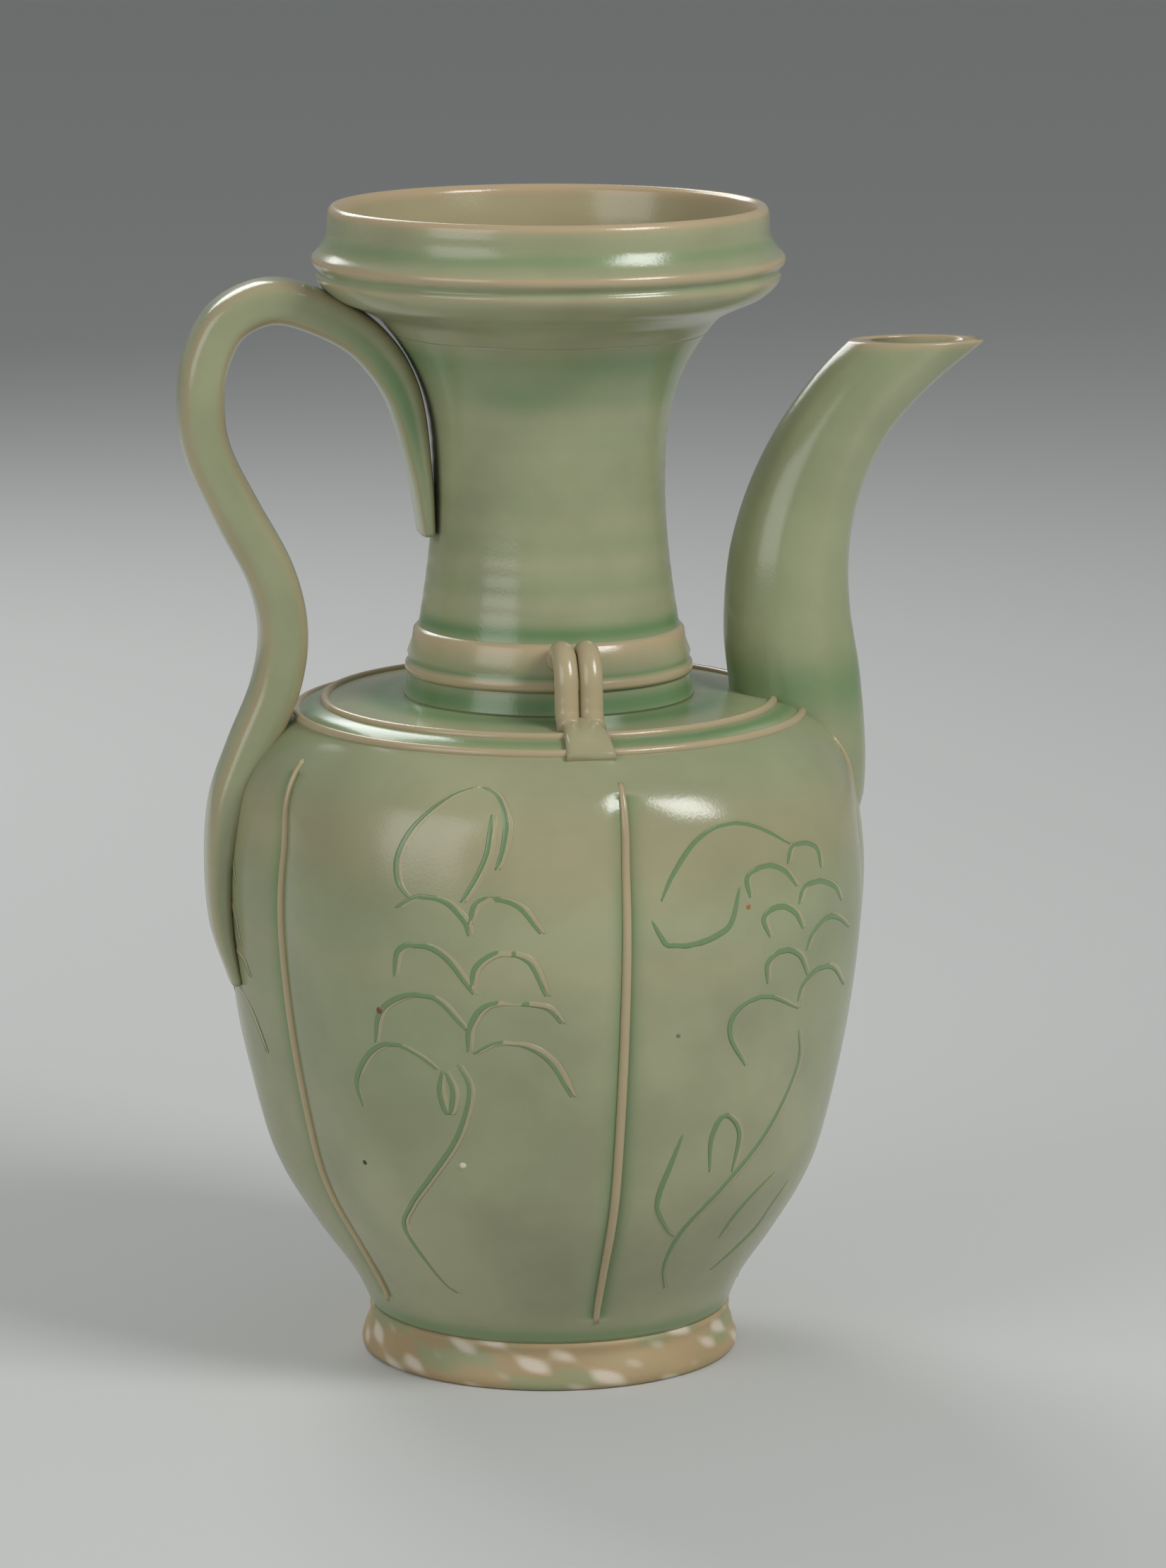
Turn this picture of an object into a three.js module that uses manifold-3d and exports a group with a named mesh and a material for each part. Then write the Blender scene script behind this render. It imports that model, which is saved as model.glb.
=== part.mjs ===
// A five-lobed celadon ewer: lobed body on a turned foot, waisted neck, dish mouth, spout, strap handle and lugs.
// Millimetres, +Z up, spout towards +X, handle towards -X. The ground is z = 0.
import * as THREE from 'three';
import { mergeVertices } from 'three/addons/utils/BufferGeometryUtils.js';
import Module from 'manifold-3d';

const wasm = await Module();
wasm.setup();

// Heights of the joints between the thrown pieces.
const FOOT_HEIGHT = 9.6;
const SHOULDER_HEIGHT = 139;
const MOUTH_JOINT_HEIGHT = 214;
const RIM_HEIGHT = 240;

// Body.
const BELLY_RADIUS = 68;
const BELLY_HEIGHT = 99;
const BODY_BASE_RADIUS = 37.4;
const BODY_WALL = 5;
const FLOOR_THICKNESS = 6;
const LOBE_COUNT = 5;
// The front rib stands a little past the middle, on the spout's side.
const FRONT_RIB_TURN = THREE.MathUtils.degToRad(5);
const LOBE_DEPTH = 0.055;

// Foot.
const FOOT_RADIUS = 39.5;
const FOOT_WALL = 6;

// Neck and its band.
const NECK_BASE_RADIUS = 30;
const NECK_WAIST_RADIUS = 24;
const NECK_WAIST_HEIGHT = 182;
const NECK_TOP_RADIUS = 32.4;
const NECK_WALL = 4;
const BAND_BOTTOM = SHOULDER_HEIGHT + 4.8;
const BAND_TOP = SHOULDER_HEIGHT + 14.4;
const BAND_SEAT = 1.2;
const BAND_PROUD = 0.8;

// Mouth.
const FLANGE_RADIUS = 48.4;
const FLANGE_HEIGHT = 230.5;
const RIM_RADIUS = 45.4;
const RIM_WALL = 3;
const DISH_FLOOR = 219;

// Raised threads and rings.
const RIB_RADIUS = 1.15;
const RIB_TOP = 127;
const RIB_BOTTOM = 17;
const RING_RADIUS = 0.95;
const INNER_RING_AT = 46.5;
const OUTER_RING_AT = 52.5;

// Spout, handle and lugs.
const SPOUT_WALL = 2.8;
const SPOUT_CUT_HEIGHT = 210.8;
const HANDLE_WIDTH = 15;
const STRAND_RADIUS = 2.4;
const LUG_TAB_WIDTH = 10;
const LUG_TAB_THICKNESS = 3.2;

const CLEARANCE = 0.3;
const AROUND = 40;

const GLAZE = { color: 0x8f9a80, roughness: 0.25, metalness: 0 };
const BARE_CLAY = { color: 0xb58e62, roughness: 0.75, metalness: 0 };

const FRONT_RIB_ANGLE = FRONT_RIB_TURN - Math.PI / 2;

const point = (x, z) => new THREE.Vector3(x, 0, z);

// A geometry with merged points, no collapsed faces and its faces pointing out, as a solid.
function solidFrom(geometry) {
  const bare = geometry.clone();
  for (const name of Object.keys(bare.attributes)) {
    if (name !== 'position') bare.deleteAttribute(name);
  }
  const merged = mergeVertices(bare, 1e-4);
  const place = merged.attributes.position.array;
  const corners = merged.index.array;
  const faces = [];
  let volume = 0;
  const [a, b, c] = [new THREE.Vector3(), new THREE.Vector3(), new THREE.Vector3()];
  for (let i = 0; i < corners.length; i += 3) {
    const [p, q, r] = [corners[i], corners[i + 1], corners[i + 2]];
    if (p === q || q === r || r === p) continue;
    faces.push(p, q, r);
    volume += a.fromArray(place, 3 * p).dot(b.fromArray(place, 3 * q).cross(c.fromArray(place, 3 * r)));
  }
  if (volume < 0) faces.reverse();
  return new wasm.Manifold(new wasm.Mesh({
    numProp: 3,
    vertProperties: new Float32Array(place),
    triVerts: new Uint32Array(faces),
  }));
}

// How much of its radius the body keeps at an angle: 1 on a lobe, less in the valley between two.
function lobeFactor(angle, strength) {
  const across = Math.abs(Math.sin((angle - FRONT_RIB_ANGLE) * LOBE_COUNT / 2));
  return 1 - LOBE_DEPTH * strength * (1 - across) ** 1.5;
}

// The lobes fade out towards the shoulder and towards the foot.
function lobeStrength(z) {
  const fromShoulder = THREE.MathUtils.smoothstep(SHOULDER_HEIGHT - z, 3, 28);
  const fromFoot = THREE.MathUtils.smoothstep(z - FOOT_HEIGHT, 0, 20);
  return fromShoulder * fromFoot;
}

// A profile of [radius, height] turned about the axis, lobed where asked.
function turned(profile, lobed = false) {
  const geometry = new THREE.LatheGeometry(profile.map(([r, z]) => new THREE.Vector2(r, z)), AROUND);
  geometry.rotateX(Math.PI / 2);
  geometry.rotateZ(FRONT_RIB_TURN);
  const place = geometry.attributes.position;
  if (lobed) {
    for (let i = 0; i < place.count; i++) {
      const [x, y, z] = [place.getX(i), place.getY(i), place.getZ(i)];
      const factor = lobeFactor(Math.atan2(y, x), lobeStrength(z));
      place.setXYZ(i, x * factor, y * factor, z);
    }
  }
  return solidFrom(geometry);
}

// Points along a smooth curve through a few chosen ones.
function smooth(points, count) {
  const curve = new THREE.CatmullRomCurve3(points.map(([r, z]) => point(r, z)), false, 'centripetal');
  return curve.getSpacedPoints(count).map((p) => [p.x, p.z]);
}

// A swept solid. at(t) gives the direction beside the path, half the width there and half the thickness across.
function swept(curve, at, steps, sides, power = 2) {
  const places = [];
  const faces = [];
  for (let i = 0; i <= steps; i++) {
    const t = i / steps;
    const centre = curve.getPoint(t);
    const plane = at(t);
    const beside = plane.beside;
    const across = new THREE.Vector3().crossVectors(beside, curve.getTangent(t)).normalize();
    for (let k = 0; k < sides; k++) {
      const angle = (2 * Math.PI * k) / sides;
      const [c, s] = [Math.cos(angle), Math.sin(angle)];
      const u = Math.sign(c) * Math.abs(c) ** (2 / power) * plane.halfThickness;
      const v = Math.sign(s) * Math.abs(s) ** (2 / power) * plane.halfWidth;
      const p = centre.clone().addScaledVector(across, u).addScaledVector(beside, v);
      places.push(p.x, p.y, p.z);
    }
  }
  for (let i = 0; i < steps; i++) {
    for (let k = 0; k < sides; k++) {
      const next = (k + 1) % sides;
      const [a, b] = [i * sides + k, i * sides + next];
      faces.push(a, b, b + sides, a, b + sides, a + sides);
    }
  }
  for (let k = 1; k < sides - 1; k++) {
    const end = steps * sides;
    faces.push(0, k + 1, k, end, end + k, end + k + 1);
  }
  const geometry = new THREE.BufferGeometry();
  geometry.setAttribute('position', new THREE.Float32BufferAttribute(places, 3));
  geometry.setIndex(faces);
  return solidFrom(geometry);
}

// The body's outer outline from the base to the shoulder's flat top, grown outwards by a margin.
function bodyOutline(grow = 0) {
  return smooth([
    [BODY_BASE_RADIUS, FOOT_HEIGHT], [41.5, 17.5], [49.3, 28.2], [56.4, 40], [60.6, 52], [65.6, 75.7],
    [BELLY_RADIUS, BELLY_HEIGHT], [BELLY_RADIUS - 1.6, SHOULDER_HEIGHT - 23], [63.4, SHOULDER_HEIGHT - 14],
    [58, SHOULDER_HEIGHT - 7.5], [52.5, SHOULDER_HEIGHT - 3.5], [46.5, SHOULDER_HEIGHT - 1.2],
    [NECK_BASE_RADIUS + 2, SHOULDER_HEIGHT],
  ], 22).map(([r, z]) => [r + grow, z + (z > BELLY_HEIGHT ? grow : 0)]);
}

// The whole body as one filled solid, for cutting what is luted onto it.
function filledBody(grow) {
  return turned([[0, FOOT_HEIGHT], ...bodyOutline(grow), [0, SHOULDER_HEIGHT + grow]], true);
}

function neckRadius(z) {
  const waist = (z - NECK_WAIST_HEIGHT) / (z < NECK_WAIST_HEIGHT
    ? NECK_WAIST_HEIGHT - SHOULDER_HEIGHT : MOUTH_JOINT_HEIGHT - NECK_WAIST_HEIGHT);
  const reach = z < NECK_WAIST_HEIGHT ? NECK_BASE_RADIUS : NECK_TOP_RADIUS;
  const power = z < NECK_WAIST_HEIGHT ? 1.7 : 2.9;
  return NECK_WAIST_RADIUS + (reach - NECK_WAIST_RADIUS) * Math.abs(waist) ** power;
}

const heights = (from, to, count) => Array.from({ length: count + 1 }, (_, i) => from + ((to - from) * i) / count);

// The neck filled from the shoulder to the mouth, with its band, for cutting.
function filledNeck(grow) {
  const outline = heights(SHOULDER_HEIGHT, MOUTH_JOINT_HEIGHT, 20).map((z) => {
    const band = z > BAND_BOTTOM - 2 && z < BAND_TOP + 2 ? BAND_PROUD : 0;
    return [neckRadius(z) + grow + band, z];
  });
  return turned([[0, SHOULDER_HEIGHT], ...outline, [0, MOUTH_JOINT_HEIGHT]]);
}

// The mouth's outside, from the joint with the neck to the rim: undercut, flange, band and lip.
function mouthOutline(grow = 0) {
  return [
    [NECK_TOP_RADIUS, MOUTH_JOINT_HEIGHT], [35.4, 217.3], [39.4, 219.4], [43.6, 221.2], [46.4, 223.4],
    [47.6, 225.6], [47.2, 227], [FLANGE_RADIUS, 228.4], [FLANGE_RADIUS, FLANGE_HEIGHT], [46.6, 232],
    [45.6, 234.5], [RIM_RADIUS, 237.5], [RIM_RADIUS - 0.6, 239.4],
  ].map(([r, z]) => [r + grow, z - (z > MOUTH_JOINT_HEIGHT ? grow : 0)]);
}

const filledMouth = (grow) => turned([[0, MOUTH_JOINT_HEIGHT], ...mouthOutline(grow), [0, RIM_HEIGHT]]);

// The spout's centre line and its half width along it.
const SPOUT_LINE = new THREE.CatmullRomCurve3([
  point(48.5, 102), point(52.6, 119), point(52, 138), point(50.2, 153), point(50.8, 168), point(55, 183),
  point(63, 197), point(74, 208), point(86, 217),
], false, 'centripetal');
const SPOUT_HALF = [12, 14.2, 14, 13.6, 12.6, 11.2, 10, 9.2, 8.6];

// A value read off a list spread evenly along a path.
function along(values, t) {
  const at = t * (values.length - 1);
  const low = Math.min(Math.floor(at), values.length - 2);
  return THREE.MathUtils.lerp(values[low], values[low + 1], at - low);
}

function spoutSolid(grow, sides = 20) {
  return swept(SPOUT_LINE, (t) => ({
    beside: new THREE.Vector3(0, 1, 0),
    halfThickness: along(SPOUT_HALF, t) + grow,
    halfWidth: along(SPOUT_HALF, t) + grow,
  }), 26, sides);
}

// The strap: up the neck, out under the flange, over the arch and down onto the body.
const HANDLE_LINE = new THREE.CatmullRomCurve3([
  point(-25.5, 173), point(-27, 186), point(-30.5, 202), point(-37.5, 212.5), point(-47, 218.5),
  point(-57, 221.2), point(-66, 217.5), point(-70.7, 209), point(-71.7, 199), point(-70.2, 190),
  point(-64.5, 178), point(-57.8, 165), point(-55.3, 153), point(-57.2, 141), point(-62.5, 129),
  point(-67, 118), point(-69, 105), point(-68.6, 92), point(-66, 80.5),
], false, 'centripetal');
const HANDLE_THICKNESS = [3, 4.6, 6.6, 8.4, 9, 9.4, 9.4, 9.5, 9.5, 9.6, 10, 10, 10, 9.8, 9, 7.6, 5.6, 4.6, 2.4];

function handleSolid(grow) {
  return swept(HANDLE_LINE, (t) => ({
    beside: new THREE.Vector3(0, 1, 0),
    halfThickness: along(HANDLE_THICKNESS, t) / 2 + grow,
    halfWidth: HANDLE_WIDTH / 2 + grow,
  }), 44, 16, 3.2);
}

// The middle of a rib: the bottom of the valley between two lobes.
function ribLine(angle) {
  const valley = bodyOutline().filter(([, z]) => z > RIB_BOTTOM && z < RIB_TOP);
  return new THREE.CatmullRomCurve3(valley.map(([r, z]) => {
    const radius = r * lobeFactor(FRONT_RIB_ANGLE, lobeStrength(z));
    return new THREE.Vector3(radius * Math.cos(angle), radius * Math.sin(angle), z);
  }));
}

function ribSolid(angle, grow) {
  const round = { halfThickness: RIB_RADIUS + grow, halfWidth: RIB_RADIUS + grow };
  const beside = new THREE.Vector3(-Math.sin(angle), Math.cos(angle), 0);
  return swept(ribLine(angle), () => ({ beside, ...round }), 16, 6);
}

// Height of the shoulder's surface at a radius.
function shoulderHeight(radius) {
  const outline = bodyOutline();
  const next = outline.findIndex(([r, z]) => z > BELLY_HEIGHT && r < radius);
  return outline[next][1];
}

function ringSolid(at, grow) {
  const sides = 8;
  const centre = shoulderHeight(at);
  const section = Array.from({ length: sides + 1 }, (_, i) => {
    const angle = (2 * Math.PI * (i % sides)) / sides;
    return [at + (RING_RADIUS + grow) * Math.cos(angle), centre + (RING_RADIUS + grow) * Math.sin(angle)];
  });
  return turned(section);
}

// One strand of a lug, in a plane beside the middle: out from the neck band, over and down to the shoulder.
function strandSolid(side, facing, grow) {
  const x = side * (STRAND_RADIUS + CLEARANCE / 2);
  const line = new THREE.CatmullRomCurve3([
    [28, 11], [31.5, 13.4], [35.5, 13], [38, 9.5], [38.6, 5], [39.4, 1.5], [40, -1],
  ].map(([out, rise]) => new THREE.Vector3(x, facing * out, SHOULDER_HEIGHT + rise)));
  const round = { halfThickness: STRAND_RADIUS + grow, halfWidth: STRAND_RADIUS + grow };
  return swept(line, () => ({ beside: new THREE.Vector3(1, 0, 0), ...round }), 14, 10);
}

// The flared end of the lug, pressed onto the shoulder and over its rings.
function tabSolid(facing, grow) {
  const line = new THREE.CatmullRomCurve3([
    [42.8, -0.2], [47, -0.7], [51, -2.1], [54.5, -4.2],
  ].map(([out, rise]) => new THREE.Vector3(0, facing * out, SHOULDER_HEIGHT + rise)));
  return swept(line, (t) => ({
    beside: new THREE.Vector3(1, 0, 0),
    halfThickness: LUG_TAB_THICKNESS / 2 + grow,
    halfWidth: (LUG_TAB_WIDTH / 2) * (0.75 + 0.25 * t) + grow,
  }), 8, 12, 3);
}

const RIB_ANGLES = Array.from({ length: LOBE_COUNT }, (_, i) => FRONT_RIB_ANGLE + (i * 2 * Math.PI) / LOBE_COUNT);
const cut = (solid, ...others) => others.reduce((left, other) => left.subtract(other), solid);
const largest = (solid) => solid.decompose().reduce((a, b) => (a.volume() > b.volume() ? a : b));
const FRONT = -1;
const BACK = 1;
const facings = { front: FRONT, back: BACK };

function footRing() {
  return turned([
    [FOOT_RADIUS - FOOT_WALL, 0.6], [FOOT_RADIUS - FOOT_WALL + 0.6, 0], [FOOT_RADIUS - 1, 0],
    [FOOT_RADIUS, 1.2], [FOOT_RADIUS - 0.4, 3.4], [BODY_BASE_RADIUS + 0.4, 7], [BODY_BASE_RADIUS, FOOT_HEIGHT],
    [FOOT_RADIUS - FOOT_WALL - 1.5, FOOT_HEIGHT], [FOOT_RADIUS - FOOT_WALL, 0.6],
  ]);
}

function body() {
  const bore = NECK_BASE_RADIUS - NECK_WALL - 1;
  const inside = bodyOutline().filter(([, z], i) => i % 2 === 0 && z > FOOT_HEIGHT + FLOOR_THICKNESS && z < SHOULDER_HEIGHT - BODY_WALL)
    .map(([r, z]) => [r - BODY_WALL, z - (z > BELLY_HEIGHT ? (z - BELLY_HEIGHT) * 0.06 : 0)]).reverse();
  const shell = turned([
    [0, FOOT_HEIGHT], ...bodyOutline(), [bore, SHOULDER_HEIGHT], [bore, SHOULDER_HEIGHT - BODY_WALL],
    ...inside, [0, FOOT_HEIGHT + FLOOR_THICKNESS],
  ], true);
  return cut(
    shell,
    spoutSolid(-SPOUT_WALL),
    ...RIB_ANGLES.map((angle) => ribSolid(angle, CLEARANCE)),
    ringSolid(INNER_RING_AT, CLEARANCE),
    ringSolid(OUTER_RING_AT, CLEARANCE),
  );
}

function neck() {
  const outline = heights(SHOULDER_HEIGHT, MOUTH_JOINT_HEIGHT, 22)
    .filter((z) => z < BAND_BOTTOM || z > BAND_TOP).map((z) => [neckRadius(z), z]);
  const lower = outline.filter(([, z]) => z < BAND_BOTTOM);
  const upper = outline.filter(([, z]) => z > BAND_TOP);
  const seat = [
    [neckRadius(BAND_BOTTOM), BAND_BOTTOM], [neckRadius(BAND_BOTTOM) - BAND_SEAT, BAND_BOTTOM],
    [neckRadius(BAND_TOP) - BAND_SEAT, BAND_TOP], [neckRadius(BAND_TOP), BAND_TOP],
  ];
  const inside = heights(MOUTH_JOINT_HEIGHT, SHOULDER_HEIGHT, 14).map((z) => [neckRadius(z) - NECK_WALL, z]);
  return turned([...lower, ...seat, ...upper, ...inside, lower[0]]);
}

function neckBand() {
  const [low, high] = [neckRadius(BAND_BOTTOM), neckRadius(BAND_TOP)];
  const inset = BAND_SEAT - CLEARANCE;
  const middle = (BAND_BOTTOM + BAND_TOP) / 2;
  return turned([
    [low - inset, BAND_BOTTOM], [low + BAND_PROUD, BAND_BOTTOM], [low + BAND_PROUD, BAND_BOTTOM + 2],
    [low + 0.1, BAND_BOTTOM + 3], [neckRadius(middle) + BAND_PROUD, middle], [high + BAND_PROUD, BAND_TOP - 1],
    [high + 0.3, BAND_TOP], [high - inset, BAND_TOP], [low - inset, BAND_BOTTOM],
  ]);
}

function mouthDish() {
  const bore = NECK_TOP_RADIUS - NECK_WALL;
  return turned([
    ...mouthOutline(), [RIM_RADIUS - 1.6, RIM_HEIGHT], [RIM_RADIUS - RIM_WALL, 239], [RIM_RADIUS - RIM_WALL - 0.8, 234],
    [RIM_RADIUS - RIM_WALL - 1.8, 227], [38, DISH_FLOOR + 4.6], [32, DISH_FLOOR + 1.6],
    [bore + 0.6, DISH_FLOOR - 0.6], [bore, MOUTH_JOINT_HEIGHT], mouthOutline()[0],
  ]);
}

function spout() {
  const lid = solidFrom(new THREE.BoxGeometry(80, 60, 40).translate(80, 0, SPOUT_CUT_HEIGHT + 20));
  return largest(cut(spoutSolid(0), filledBody(CLEARANCE), lid, spoutSolid(-SPOUT_WALL)));
}

const handle = () => largest(cut(handleSolid(0), filledBody(CLEARANCE), filledNeck(CLEARANCE), filledMouth(CLEARANCE)));

const shoulderRing = (at) => largest(cut(ringSolid(at, 0), spoutSolid(CLEARANCE), handleSolid(CLEARANCE)));

const tab = (facing) => largest(cut(
  tabSolid(facing, 0), filledBody(CLEARANCE / 2),
  ringSolid(INNER_RING_AT, CLEARANCE), ringSolid(OUTER_RING_AT, CLEARANCE),
));

const strand = (side, facing) => largest(cut(
  strandSolid(side, facing, 0), filledBody(CLEARANCE), filledNeck(CLEARANCE), tabSolid(facing, CLEARANCE),
));

const group = new THREE.Group();

// The solid as a named mesh of its own, with its own material.
function addPiece(name, solid, look = GLAZE) {
  const mesh = solid.getMesh();
  const geometry = new THREE.BufferGeometry();
  geometry.setAttribute('position', new THREE.Float32BufferAttribute(mesh.vertProperties, 3));
  geometry.setIndex(Array.from(mesh.triVerts));
  geometry.computeVertexNormals();
  const piece = new THREE.Mesh(geometry, new THREE.MeshStandardMaterial(look));
  piece.name = name;
  group.add(piece);
}

addPiece('foot_ring', footRing(), BARE_CLAY);
addPiece('body', body());
addPiece('shoulder_ring_inner', shoulderRing(INNER_RING_AT));
addPiece('shoulder_ring_outer', shoulderRing(OUTER_RING_AT));
addPiece('neck', neck());
addPiece('neck_band', neckBand());
addPiece('mouth_dish', mouthDish());
addPiece('spout', spout());
addPiece('handle', handle());
for (const [place, facing] of Object.entries(facings)) {
  addPiece(`lug_${place}_left_strand`, strand(-1, facing));
  addPiece(`lug_${place}_right_strand`, strand(1, facing));
  addPiece(`lug_${place}_tab`, tab(facing));
}
RIB_ANGLES.forEach((angle, i) => addPiece(`rib_${i + 1}`, ribSolid(angle, 0)));

// The origin is under the middle of the whole ewer, spout and handle included.
const extent = new THREE.Box3().setFromObject(group, true);
const middle = extent.getCenter(new THREE.Vector3());
group.position.set(-middle.x, -middle.y, 0);

export default group;
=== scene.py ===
# The looks of a five-lobed celadon ewer: its glazed pieces, a pale stage, lights and a camera.
import math

import bpy
import numpy as np
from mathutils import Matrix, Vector


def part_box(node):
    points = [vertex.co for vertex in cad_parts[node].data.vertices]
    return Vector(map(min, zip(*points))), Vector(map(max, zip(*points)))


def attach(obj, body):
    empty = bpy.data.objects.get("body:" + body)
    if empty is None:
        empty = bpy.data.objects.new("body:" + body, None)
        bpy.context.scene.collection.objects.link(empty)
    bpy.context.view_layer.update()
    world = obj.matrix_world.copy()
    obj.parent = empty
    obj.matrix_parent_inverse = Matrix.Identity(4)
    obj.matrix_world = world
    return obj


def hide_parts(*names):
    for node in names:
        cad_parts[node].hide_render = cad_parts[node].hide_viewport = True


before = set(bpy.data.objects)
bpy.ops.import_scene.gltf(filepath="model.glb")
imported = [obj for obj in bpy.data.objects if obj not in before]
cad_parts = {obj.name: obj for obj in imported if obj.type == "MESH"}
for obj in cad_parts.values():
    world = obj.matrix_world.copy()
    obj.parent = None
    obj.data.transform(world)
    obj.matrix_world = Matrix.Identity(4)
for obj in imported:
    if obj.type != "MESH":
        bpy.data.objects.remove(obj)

bl_info = {
    "name": "Celadon ewer",
    "version": (1, 0, 0),
    "blender": (4, 5, 0),
    "location": "3D View > Sidebar > Ewer",
    "description": "Builds the glazed pieces of a lobed celadon ewer with a spout and a strap handle",
    "category": "Object",
}

# Sizes and heights are in millimetres, about the ewer's axis, unless a comment says otherwise.
MM = 0.001

# The frame's own sizes.
BODY_HIGH = np.array(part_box("body")[1]) / MM
FOOT_LOW, FOOT_HIGH = (np.array(corner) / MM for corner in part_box("foot_ring"))
MOUTH_LOW, MOUTH_HIGH = (np.array(corner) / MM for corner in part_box("mouth_dish"))
SPOUT_HIGH = np.array(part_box("spout")[1]) / MM
AXIS_X = (FOOT_LOW[0] + FOOT_HIGH[0]) / 2
FOOT_HEIGHT = FOOT_HIGH[2]
SHOULDER_HEIGHT = BODY_HIGH[2]
MOUTH_JOINT = MOUTH_LOW[2]
RIM_HEIGHT = MOUTH_HIGH[2]
SPOUT_CUT = SPOUT_HIGH[2]

# Lobes. The front rib stands a little past the middle, on the spout's side.
LOBE_COUNT = 5
LOBE_DEPTH = 0.055
LOBE_PITCH = 2 * math.pi / LOBE_COUNT
FRONT_RIB = math.radians(5) - math.pi / 2
# Where the lobes begin and are whole, as distances below the shoulder and above the foot.
SHOULDER_FADE = (3, 28)
FOOT_FADE = (0, 20)

# Body, as radius and height from the foot to the shoulder. Below CLIMB_TOP each height has one radius.
BODY_OUTLINE = (
    (37.4, FOOT_HEIGHT), (41.5, 17.5), (49.3, 28.2), (56.4, 40), (60.6, 52), (65.6, 75.7), (68, 99),
    (66.4, 116), (63.4, 125), (58, 131.5), (52.5, 135.5), (46.5, 137.8), (32, SHOULDER_HEIGHT),
)
CLIMB_TOP = 131
SHOULDER_BOTTOM = 128
BODY_WALL = 5.0
FLOOR_THICKNESS = 6.0
HOLLOW_TOP = 133
BODY_BORE_RADIUS = 25.0

# The groove along each rib, up to the shoulder.
GROOVE_DEPTH = 0.45
GROOVE_BOTTOM = 15

# Foot, as radius and height round its section.
FOOT_SECTION = (
    (33.5, 0.6), (34.1, 0), (38.5, 0), (39.5, 1.2), (39.1, 3.4), (37.8, 7), (37.4, FOOT_HEIGHT),
    (32, FOOT_HEIGHT), (33.5, 0.6),
)

# Raised threads and rings.
RIB_RADIUS = 1.0
RIB_SUNK = 0.3
RIB_BOTTOM = 14
RING_RADIUS = 0.95
RING_PLACES = {"shoulder_ring_inner": 46.5, "shoulder_ring_outer": 52.5}

# Neck and its band.
NECK_BASE_RADIUS = 30.0
NECK_WAIST_RADIUS = 24.0
NECK_WAIST_HEIGHT = 182.0
NECK_TOP_RADIUS = 32.4
NECK_WALL = 4.0
THROWING_LINE_PITCH = 4.2
THROWING_LINE_DEPTH = 0.022
GLAZE_LINE_PITCH = 9.0
BAND_BOTTOM = 143.8
BAND_TOP = 153.4

# Mouth, as radius and height.
MOUTH_OUTSIDE = (
    (32.4, MOUTH_JOINT), (35.4, 217.3), (39.4, 219.4), (43.6, 221.2), (46.4, 223.4), (47.6, 225.4),
    (47.1, 226.8), (48.3, 228.2), (48.4, 229.6), (46.7, 231.6), (45.4, 234.5), (45.2, 237.4),
    (44.9, 239.2), (43.9, RIM_HEIGHT), (42.7, 239.2),
)
MOUTH_INSIDE = (
    (42.7, 239.2), (41.6, 234), (40.6, 227), (38, 223.6), (32, 220.6), (29, 218.4), (28.4, MOUTH_JOINT),
)

# Spout: its centre line from inside the body to past the tip, half its width along that, and its wall.
SPOUT_LINE = (
    (48.5, 0, 102), (52.6, 0, 119), (52, 0, 138), (50.2, 0, 153), (50.8, 0, 168), (55, 0, 183),
    (63, 0, 197), (74, 0, 208), (86, 0, 217),
)
SPOUT_HALF = (12, 14.2, 14, 13.6, 12.6, 11.2, 10, 9.2, 8.6)
SPOUT_WALL = 2.8

# Handle: its centre line up the neck, over the arch and down onto the body, its thickness and half width.
HANDLE_LINE = (
    (-25.5, 0, 173), (-27, 0, 186), (-30.5, 0, 202), (-37.5, 0, 212.5), (-47, 0, 218.5), (-57, 0, 221.2),
    (-66, 0, 217.5), (-70.7, 0, 209), (-71.7, 0, 199), (-70.2, 0, 190), (-64.5, 0, 178), (-57.8, 0, 165),
    (-55.3, 0, 153), (-57.2, 0, 141), (-62.5, 0, 129), (-67, 0, 118), (-69, 0, 105), (-68.6, 0, 92),
    (-66, 0, 80.5),
)
HANDLE_THICKNESS = (3, 4.6, 6.6, 8.4, 9, 9.4, 9.4, 9.5, 9.5, 9.6, 10, 10, 10, 9.8, 9, 7.6, 5.6, 4.6, 2.4)
HANDLE_HALF_WIDTH = 7.5

# Lugs: how far out and how high a strand and the flared end run, and their sizes.
STRAND_LINE = ((28, 150), (31.5, 152.4), (35.5, 152), (38, 148.5), (38.6, 144), (39.4, 140.5), (42.5, 138.6))
STRAND_RADIUS = 2.45
STRAND_BESIDE = 2.5
TAB_LINE = ((40.5, 139.2), (47, 138.3), (51, 136.9), (54.5, 134.8))
TAB_HALF_THICKNESS = 1.6
TAB_HALF_WIDTHS = (3.8, 5.0)

# How finely the turned pieces are divided round the axis.
AROUND = 240
FINE_AROUND = 480

# How the photograph sees the ewer: where its axis and foot fall, how large, and from what height.
PHOTO_WIDTH = 1652
PHOTO_AXIS_X = 785
PHOTO_FOOT_Y = 1900
PHOTO_PIXELS_PER_MM = 6.75
CAMERA_AZIMUTH = math.radians(-9)
CAMERA_DISTANCE = 1272.0
CAMERA_HEIGHT = 364.0
SENSOR_MM = 36.0
# The height on the axis that falls in the middle of the photograph.
MIDDLE_HEIGHT = 119.4
# Small corrections that bring a render in line with the photograph: a shift to the right, a longer lens.
VIEW_SHIFT = 1.0
LENS_TRIM = 1.01

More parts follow.
